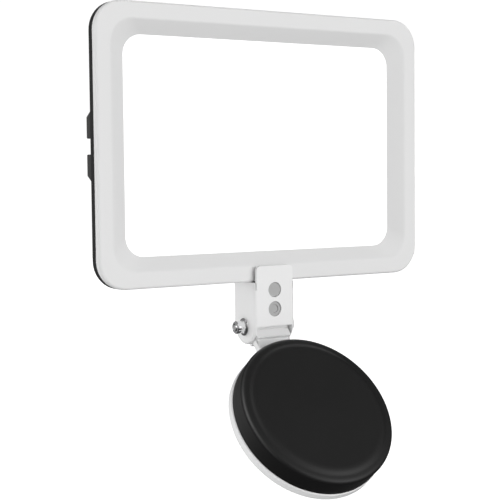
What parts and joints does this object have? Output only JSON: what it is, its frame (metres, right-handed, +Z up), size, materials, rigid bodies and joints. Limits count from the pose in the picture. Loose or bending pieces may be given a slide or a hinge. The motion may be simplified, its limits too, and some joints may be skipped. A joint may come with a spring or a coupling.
{
  "type": "light table",
  "caption": "Small tilting light table: edge-lit panel in a white bevelled frame on a channel bracket, friction hinge and round magnetic pad.",
  "frame": {"origin": "centre of the round pad's contact face", "axes": "+X to the panel's right as its lit face is looked at, +Z up with the panel upright, the lit face looks along -Y"},
  "size_m": [0.251, 0.11, 0.3099],
  "materials": {
    "white_plastic": "satin moulded white",
    "white_paint": "satin white powder coat",
    "black_plastic": "fine textured black",
    "black_rubber": "matt moulded rubber",
    "grey_rubber": "matt dark grey rubber",
    "opal": "opal acrylic, lit evenly from behind",
    "clear_acrylic": "polished clear acrylic",
    "white_film": "matt white film",
    "aluminium": "mill finish",
    "steel": "zinc plated",
    "chrome": "bright plated",
    "magnet": "nickel plated",
    "grey_plastic": "fine grained grey",
    "black_plate": "black oxide",
    "white_head": "satin white",
    "brass": "turned",
    "nylon": "natural nylon",
    "board": "solder mask",
    "chips": "moulded",
    "led": "phosphor",
    "foil": "laminated pouch",
    "wire_cover": "insulation",
    "button_cap": "satin"
  },
  "bodies": {
    "base": {"pad_cover": "black_rubber", "yoke_plate": "steel", "magnet_carrier": "chips", "magnets": "magnet", "base_plate": "white_paint", "pad_screws": "black_plate", "hinge_arm": "white_paint", "arm_screws": "black_plate", "hinge_bush": "brass"},
    "panel": {"friction_washers": "nylon", "hinge_bolt": "white_head", "head_washer": "steel", "flange_nut": "chrome", "bracket": "white_paint", "upper_plug": "grey_plastic", "lower_plug": "grey_plastic", "bracket_screws": "steel", "spacer_block": "chips", "stem_plate": "steel", "stem_screws": "steel", "front_frame": "white_plastic", "diffuser": "opal", "light_guide": "clear_acrylic", "reflector": "white_film", "heat_plate": "aluminium", "led_strips": "board", "leds": "led", "back_shell": "black_plastic", "case_screws": "black_plate", "rest_feet": "grey_rubber", "driver_board": "board", "board_components": "chips", "switches": "chips", "charging_socket": "steel", "battery_pack": "foil", "wires": "wire_cover"},
    "dimmer_button": {"dimmer_button": "button_cap"},
    "power_button": {"power_button": "button_cap"},
    "brighter_button": {"brighter_button": "button_cap"}
  },
  "joints": [
    {"name": "panel_tilt", "type": "hinge", "parent": "base", "child": "panel", "pos_m": [0, 0.06399, 0.04554], "axis": [1, 0, 0], "range_deg": [-145, 8]},
    {"name": "dimmer_press", "type": "slide", "parent": "panel", "child": "dimmer_button", "axis": [0, -1, 0], "range_m": [0, 0.0008], "stiffness_N_per_m": 600, "springref_m": -0.0006},
    {"name": "power_press", "type": "slide", "parent": "panel", "child": "power_button", "axis": [0, -1, 0], "range_m": [0, 0.0008], "stiffness_N_per_m": 600, "springref_m": -0.0006},
    {"name": "brighter_press", "type": "slide", "parent": "panel", "child": "brighter_button", "axis": [0, -1, 0], "range_m": [0, 0.0008], "stiffness_N_per_m": 600, "springref_m": -0.0006}
  ]
}
